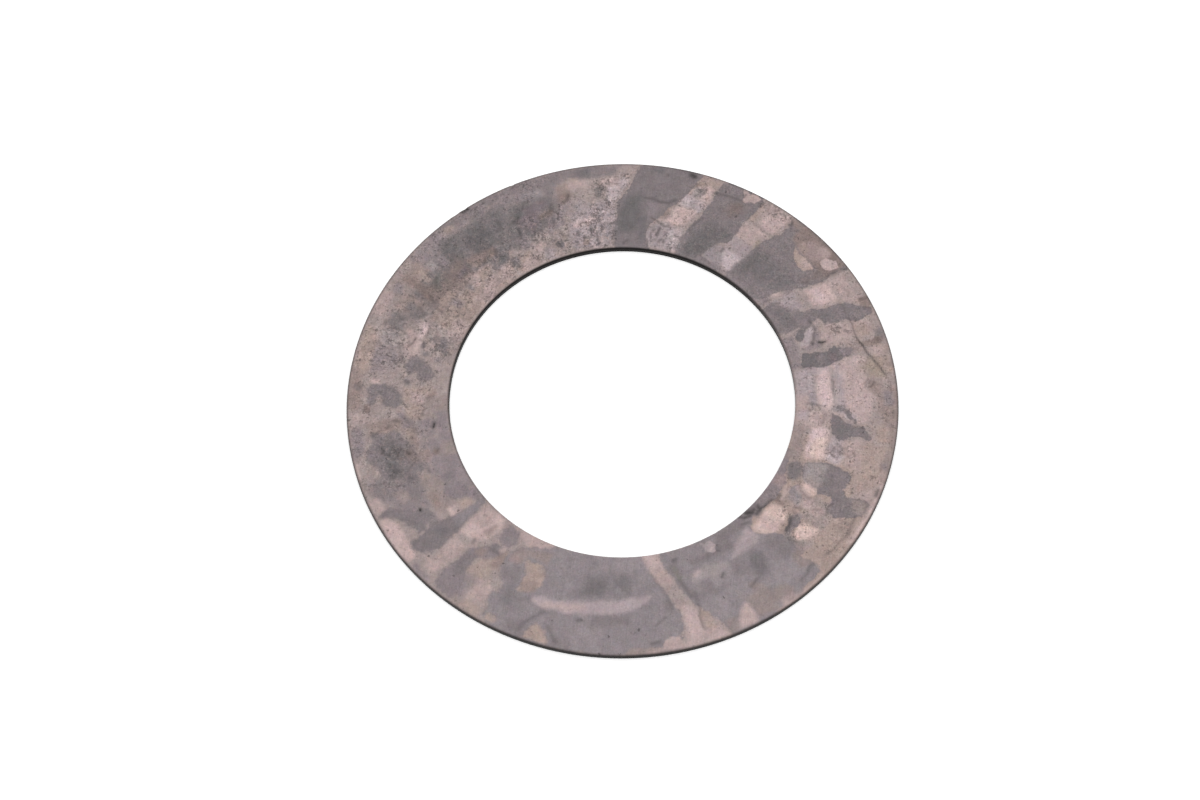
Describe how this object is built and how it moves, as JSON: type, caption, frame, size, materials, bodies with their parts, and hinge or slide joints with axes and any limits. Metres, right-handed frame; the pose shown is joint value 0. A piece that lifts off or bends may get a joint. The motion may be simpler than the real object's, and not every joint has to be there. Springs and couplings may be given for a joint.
{
  "type": "washer",
  "caption": "Large plain flat washer, a thin blanked steel ring with a wide bore and softly rolled upper edges, worn and mottled with grey and pinkish-brown stains.",
  "frame": {"origin": "centre of the bore at the washer's lower face", "axes": "+Z along the bore's axis, towards the upper face; +X and +Y in the plane of the sheet"},
  "size_m": [0.088, 0.088, 0.001],
  "materials": {
    "stained_steel": "Dull rolled steel under a patchy thin stain: dark grey film and paler pinkish-brown bare patches, with specks, fine scratches and a faint satin shine."
  },
  "bodies": {
    "root": {"washer": "stained_steel"}
  },
  "joints": []
}
